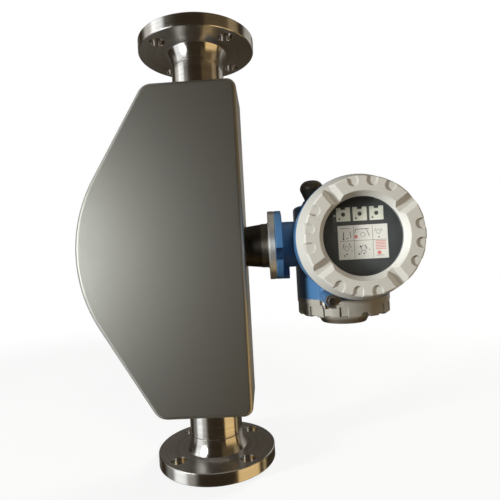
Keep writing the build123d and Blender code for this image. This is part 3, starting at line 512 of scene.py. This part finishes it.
sealGlassLook = {**boardLook, "light": (0.24, 0.23, 0.21), "dark": (0.17, 0.165, 0.15),
                 "edgeColour": (0.34, 0.33, 0.3), "roughness": 0.2}
dress(mouldedPlastic("feedthroughGlass", sealGlassLook), "feedthrough")

pinLook = {**clampLook, "light": (0.78, 0.6, 0.26), "dark": (0.68, 0.5, 0.2), "stain": (0.5, 0.36, 0.16),
           "edgeColour": (0.86, 0.72, 0.4), "grain": 0.0003, "roughness": 0.26, "edge": 0.0002}
dress(blastedSteel("pinMetal", pinLook), "feedthrough_pins", "ground_screw")

paneLook = {"index": 1.45, "clear": (0.93, 0.945, 0.94), "hazy": (0.88, 0.895, 0.89),
            "wipeSize": 0.03, "wipeCover": 0.5}
dress(windowPane("windowGlass", paneLook), "window_glass")
print("finishes given to the CAD nodes")


# the label's print and the keys' dots, plain shapes in millimetres from the middle of the label or a key
# dots and rings hold x, y and radius; bars hold x, y, width, height and lean in degrees

printLook = {
    "thickness": 0.06, "line": 0.4, "margin": 1.0, "columns": (-9.8, 10.6), "row": 1.7,
    "dots": [(-3.0, -5.1, 1.1), (-4.9, -13.2, 1.0), (0.5, -12.8, 0.9), (-18.2, -12.6, 0.9),
             (-20.7, -14.4, 0.9), (17.4, 4.4, 0.8), (6.6, -8.6, 0.6), (-12.6, -9.3, 0.6)],
    "rings": [(0.2, 7.9, 2.3), (-18.2, -6.6, 2.2), (16.9, 10.3, 2.0), (0.2, -6.8, 2.4)],
    "bars": [
        (-21.0, 8.0, 1.0, 7.2, -6), (-21.2, 3.8, 1.6, 2.2, 0), (-13.4, 8.4, 0.7, 7.4, 6),
        (-17.0, 4.4, 2.6, 0.6, 20), (-0.3, 14.2, 14.6, 0.7, 0), (-8.0, 12.2, 0.6, 4.6, -8),
        (5.6, 10.0, 0.7, 8.2, 20), (-19.0, 15.6, 11.0, 0.5, 0), (-21.6, -3.6, 0.7, 5.4, -16),
        (-14.4, -3.4, 0.7, 5.2, 24), (2.9, -5.4, 0.7, 5.0, 24), (-2.3, -10.6, 0.6, 3.2, -30),
        (2.0, -10.4, 0.6, 3.0, 34), (13.6, 12.6, 0.6, 3.4, -30), (20.2, 12.4, 0.6, 3.4, 30),
        (18.0, -15.6, 9.0, 0.4, 0),
    ],
    "redDots": [(-7.5, 6.0, 1.9), (17.0, -12.6, 2.2)],
    "redBars": {"count": 6, "centre": 19.0, "top": 0.2, "pitch": 1.7, "width": 11.2, "height": 0.75},
    "keyDot": {"size": 1.1, "fromCentre": (-4.4, -4.7)},
}


def frontPlace(node):  # lays a drawing in millimetres on the front face of a node
    low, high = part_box(node)
    middle = (low + high) / 2
    turn = Matrix.Rotation(math.radians(90.0), 4, "X")
    return Matrix.Translation((middle.x, low.y, middle.z)) @ turn @ Matrix.Scale(0.001, 4)


def addBar(shape, x, y, width, height, thickness, lean=0.0):
    size = Matrix.Diagonal((width, height, thickness, 1.0))
    turn = Matrix.Rotation(math.radians(lean), 4, "Z")
    bmesh.ops.create_cube(shape, size=1.0, matrix=Matrix.Translation((x, y, thickness / 2)) @ turn @ size)


roundSteps = 32


def addDot(shape, x, y, radius, thickness):
    bmesh.ops.create_cone(shape, cap_ends=True, segments=roundSteps, radius1=radius, radius2=radius,
                          depth=thickness, matrix=Matrix.Translation((x, y, thickness / 2)))


def addRing(shape, x, y, radius, width, thickness):
    corners = [shape.verts.new((x + radius + across, y, height))
               for across, height in ((0.0, 0.0), (width, 0.0), (width, thickness), (0.0, thickness))]
    edges = [shape.edges.new((corners[place - 1], corners[place])) for place in range(4)]
    bmesh.ops.spin(shape, geom=corners + edges, cent=(x, y, 0.0), axis=(0.0, 0.0, 1.0),
                   angle=math.tau, steps=roundSteps, use_merge=True)


def finishPiece(name, shape, place, body, material):
    bmesh.ops.transform(shape, matrix=place, verts=shape.verts)
    bmesh.ops.recalc_face_normals(shape, faces=shape.faces)
    mesh = bpy.data.meshes.new(name)
    shape.to_mesh(mesh)
    shape.free()
    mesh.materials.append(material)
    piece = bpy.data.objects.new(name, mesh)
    bpy.context.scene.collection.objects.link(piece)
    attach(piece, body)


def makeLabelPrint(look):
    low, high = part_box("display_label")
    width, height = [(high[axis] - low[axis]) * 1000 - 2 * look["margin"] for axis in (0, 2)]
    thickness, line = look["thickness"], look["line"]
    grey = bmesh.new()
    for x in look["columns"]:
        addBar(grey, x, 0.0, line, height, thickness)
    addBar(grey, 0.0, look["row"], width, line, thickness)
    for x, y, across, tall, lean in look["bars"]:
        addBar(grey, x, y, across, tall, thickness, lean)
    for x, y, radius in look["dots"]:
        addDot(grey, x, y, radius, thickness)
    for x, y, radius in look["rings"]:
        addRing(grey, x, y, radius, line, thickness)
    finishPiece("labelGreyPrint", grey, frontPlace("display_label"), "display", greyInk)
    red = bmesh.new()
    for x, y, radius in look["redDots"]:
        addDot(red, x, y, radius, thickness)
    bars = look["redBars"]
    for number in range(bars["count"]):
        y = bars["top"] - number * bars["pitch"]
        addBar(red, bars["centre"], y, bars["width"], bars["height"], thickness)
    finishPiece("labelRedPrint", red, frontPlace("display_label"), "display", redInk)


def makeKeyDots(look):
    low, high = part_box("display_keys")
    width, size = (high.x - low.x) * 1000, (high.z - low.z) * 1000
    pitch = (width - size) / 2
    across, up = look["keyDot"]["fromCentre"]
    dots = bmesh.new()
    for key in (-1, 0, 1):
        addDot(dots, key * pitch + across, up, look["keyDot"]["size"], look["thickness"])
    finishPiece("keyDots", dots, frontPlace("display_keys"), "display", greyInk)


greyInkLook = {**labelLook, "light": (0.07, 0.055, 0.06), "dark": (0.045, 0.035, 0.04),
               "edgeColour": (0.09, 0.08, 0.08)}
greyInk = mouldedPlastic("greyInk", greyInkLook)
redInkLook = {**labelLook, "light": (0.5, 0.13, 0.12), "dark": (0.45, 0.1, 0.095),
              "edgeColour": (0.55, 0.17, 0.155)}
redInk = mouldedPlastic("redInk", redInkLook)
makeLabelPrint(printLook)
makeKeyDots(printLook)
print("label print made")


# studio

floorLook = {
    "radius": 3.0, "steps": 96, "fadeStart": 0.75, "fadeEnd": 1.3,
    "roughness": 0.85, "grain": 0.004, "mottle": 1.03, "bump": 0.1, "depth": 0.0005,
    "bounced": (0.26, 0.235, 0.2),  # the tone that the floor throws back on the object
    "seen": (0.92, 0.92, 0.91), "whiteShare": 0.84,  # how far the camera sees it as plain white
}


def makeFloor(look):
    shape = bmesh.new()
    bmesh.ops.create_circle(shape, cap_ends=True, segments=look["steps"], radius=look["radius"],
                            matrix=Matrix.Translation((0.0, 0.0, cadLow.z)))
    mesh = bpy.data.meshes.new("floor")
    shape.to_mesh(mesh)
    shape.free()
    floor = bpy.data.objects.new("floor", mesh)
    bpy.context.scene.collection.objects.link(floor)
    mesh.materials.append(floorFinish(look))


def floorFinish(look):
    material, tree, sockets = startFinish("paleFloor", Roughness=look["roughness"])
    place = objectPlace(tree)
    grain = useGroup(tree, fineGrain, Vector=place, Size=look["grain"])
    pale = [value * look["mottle"] for value in look["bounced"]]
    path = addNode(tree, "ShaderNodeLightPath").outputs
    seen = calc(tree, "MAXIMUM", path["Is Camera Ray"], path["Is Transmission Ray"])
    bounced = mixColour(tree, grain["Height"], look["bounced"], pale)
    tree.links.new(mixColour(tree, seen, bounced, look["seen"]), sockets["Base Color"])
    linkBump(tree, sockets, grain["Height"], look["bump"], look["depth"])
    white = addNode(tree, "ShaderNodeEmission", {"Color": plainWhite, "Strength": 1.0})
    lit = addNode(tree, "ShaderNodeMixShader", {
        0: calc(tree, "MULTIPLY", seen, look["whiteShare"]),
        1: tree.nodes["Principled BSDF"].outputs[0], 2: white.outputs[0]})
    distance = addNode(tree, "ShaderNodeVectorMath", {0: place}, operation="LENGTH").outputs["Value"]
    faded = remap(tree, distance, look["fadeStart"], look["fadeEnd"], smooth=True)
    through = calc(tree, "MAXIMUM", faded, path["Is Glossy Ray"])  # mirrors see the studio's own floor tones
    gone = addNode(tree, "ShaderNodeBsdfTransparent")
    both = addNode(tree, "ShaderNodeMixShader", {0: through, 1: lit.outputs[0], 2: gone.outputs[0]})
    tree.links.new(both.outputs[0], tree.nodes["Material Output"].inputs["Surface"])
    return material


# what polished metal mirrors: azimuth 0 is behind the camera, minus to its left; degrees
studioLook = {
    "softLight": 0.06, "softColour": (1.0, 0.9, 0.75), "room": (0.04, 0.029, 0.017),
    "patches": [
        {"note": "window", "azimuth": -70, "half": 10, "edge": 9, "low": -50, "high": 36, "rise": 16,
         "colour": (1.15, 1.2, 1.25)},
        {"note": "window's glow", "azimuth": -46, "half": 3, "edge": 14, "low": -24, "high": 14, "rise": 14,
         "colour": (0.5, 0.5, 0.48)},
        {"note": "window seen from below", "azimuth": -90, "half": 12, "edge": 9, "low": 14, "high": 50,
         "rise": 8, "colour": (0.5, 0.5, 0.49)},
        {"note": "pale wall low", "azimuth": -84, "half": 16, "edge": 16, "low": -60, "high": -18, "rise": 12,
         "colour": (0.26, 0.27, 0.27)},
        {"note": "pale wall high", "azimuth": -86, "half": 18, "edge": 16, "low": 18, "high": 60, "rise": 12,
         "colour": (0.22, 0.22, 0.21)},
        {"note": "warm floor", "azimuth": 69, "half": 23, "edge": 2.5, "low": -80, "high": -10, "rise": 12,
         "colour": (1.0, 0.7, 0.32)},
        {"note": "warm strip", "azimuth": 109, "half": 3, "edge": 3, "low": -80, "high": -8, "rise": 12,
         "colour": (0.5, 0.38, 0.2)},
        {"note": "warm wall", "azimuth": 58, "half": 28, "edge": 8, "low": -4, "high": 60, "rise": 10,
         "colour": (0.08, 0.055, 0.027)},
        {"note": "warm wall lit", "azimuth": 87, "half": 9, "edge": 6, "low": 8, "high": 60, "rise": 12,
         "colour": (0.26, 0.2, 0.12)},
        {"note": "white backdrop", "azimuth": 180, "half": 14, "edge": 14, "low": 2, "high": 11, "rise": 6,
         "colour": (0.32, 0.32, 0.31)},
        {"note": "backdrop foot", "azimuth": 176, "half": 10, "edge": 10, "low": -14, "high": 2, "rise": 8,
         "colour": (0.13, 0.12, 0.105)},
        {"note": "dim rear", "azimuth": -150, "half": 10, "edge": 10, "low": -70, "high": 70, "rise": 10,
         "colour": (0.1, 0.1, 0.095)},
        {"note": "rear room", "azimuth": 138, "half": 12, "edge": 14, "low": -8, "high": 50, "rise": 14,
         "colour": (0.5, 0.48, 0.45)},
        {"note": "ceiling", "azimuth": 0, "half": 180, "edge": 10, "low": 66, "high": 90, "rise": 16,
         "colour": (0.3, 0.3, 0.29)},
    ],
}


def patchMask(tree, azimuth, elevation, patch):
    radians = {key: math.radians(value) for key, value in patch.items() if key not in ("note", "colour")}
    offset = calc(tree, "WRAP", calc(tree, "SUBTRACT", azimuth, radians["azimuth"]), math.pi, -math.pi)
    across = remap(tree, calc(tree, "ABSOLUTE", offset), radians["half"] + radians["edge"], radians["half"],
                   smooth=True)
    above = remap(tree, elevation, radians["low"] - radians["rise"], radians["low"], smooth=True)
    below = remap(tree, elevation, radians["high"] + radians["rise"], radians["high"], smooth=True)
    return calc(tree, "MULTIPLY", across, calc(tree, "MULTIPLY", above, below))


def makeWorld(look):
    world = bpy.data.worlds.new("studio")
    bpy.context.scene.world = world
    world.use_nodes = True
    world.cycles.sampling_method = "NONE"
    tree = world.node_tree
    tree.nodes.clear()
    direction = addNode(tree, "ShaderNodeSeparateXYZ", {
        "Vector": addNode(tree, "ShaderNodeTexCoord").outputs["Generated"]}).outputs
    azimuth = calc(tree, "ARCTAN2", direction["X"], calc(tree, "MULTIPLY", direction["Y"], -1.0))
    elevation = calc(tree, "ARCSINE", direction["Z"])
    surround = look["room"]
    for patch in look["patches"]:
        mask = patchMask(tree, azimuth, elevation, patch)
        surround = mixColour(tree, mask, surround, patch["colour"], "ADD")
    mirrored = addNode(tree, "ShaderNodeBackground", {"Color": surround, "Strength": 1.0})
    soft = addNode(tree, "ShaderNodeBackground", {
        "Color": asColour(look["softColour"]), "Strength": look["softLight"]})
    white = addNode(tree, "ShaderNodeBackground", {"Color": plainWhite, "Strength": 1.0})
    path = addNode(tree, "ShaderNodeLightPath").outputs
    diffuse = calc(tree, "MINIMUM", path["Diffuse Depth"], 1.0)
    first = addNode(tree, "ShaderNodeMixShader", {
        0: path["Is Glossy Ray"], 1: white.outputs[0], 2: mirrored.outputs[0]})
    second = addNode(tree, "ShaderNodeMixShader", {0: diffuse, 1: first.outputs[0], 2: soft.outputs[0]})
    output = addNode(tree, "ShaderNodeOutputWorld")
    tree.links.new(second.outputs[0], output.inputs["Surface"])


# soft lamps light all but the metal, sheen lamps are only mirrored, so that no side of the steel glares
lampLooks = [
    {"name": "windowLamp", "place": (-1.7, -1.0, 0.34), "size": 0.26, "power": 64.0,
     "colour": (0.95, 0.99, 1.0), "soft": True, "sheen": False},
    {"name": "windowSheen", "place": (-1.39, -1.39, 0.32), "size": 0.9, "power": 12.5,
     "colour": (0.95, 0.99, 1.0), "soft": False, "sheen": True},
    {"name": "warmLamp", "place": (1.7, -1.0, 0.1), "size": 1.0, "power": 4.0,
     "colour": (1.0, 0.68, 0.36), "soft": True, "sheen": False},
    {"name": "rearLamp", "place": (1.1, 1.5, 1.12), "size": 0.8, "power": 30.0,
     "colour": (1.0, 0.98, 0.95), "soft": True, "sheen": False},
    {"name": "frontLamp", "place": (0.6, -1.6, 1.4), "size": 0.6, "power": 12.0,
     "colour": (1.0, 0.95, 0.86), "soft": True, "sheen": False},
]


def makeLamp(look, target):
    lamp = bpy.data.lights.new(look["name"], "AREA")
    lamp.shape = "DISK"
    lamp.size = look["size"]
    lamp.energy = look["power"]
    lamp.color = look["colour"]
    holder = bpy.data.objects.new(look["name"], lamp)
    holder.location = look["place"]
    holder.rotation_euler = (Vector(target) - Vector(look["place"])).to_track_quat("-Z", "Y").to_euler()
    holder.visible_diffuse = look["soft"]
    holder.visible_glossy = look["sheen"]
    bpy.context.scene.collection.objects.link(holder)


cameraLook = {
    "lens": 29.886, "sensorWidth": 36.0, "place": (0.07868, -0.55277, 0.26673),
    "turn": (90.6057, 3.1374, 2.2353), "nearest": 0.01, "furthest": 20.0,
}


def makeCamera(look):
    camera = bpy.data.cameras.new("camera")
    camera.sensor_fit = "HORIZONTAL"
    camera.sensor_width = look["sensorWidth"]
    camera.lens = look["lens"]
    camera.clip_start = look["nearest"]
    camera.clip_end = look["furthest"]
    holder = bpy.data.objects.new("camera", camera)
    holder.location = look["place"]
    holder.rotation_euler = [math.radians(value) for value in look["turn"]]
    bpy.context.scene.collection.objects.link(holder)
    bpy.context.scene.camera = holder


makeFloor(floorLook)
makeWorld(studioLook)
middle = (cadLow + cadHigh) / 2
for lampLook in lampLooks:
    makeLamp(lampLook, middle)
makeCamera(cameraLook)
bpy.context.scene.view_settings.view_transform = "Standard"
print("studio set up")
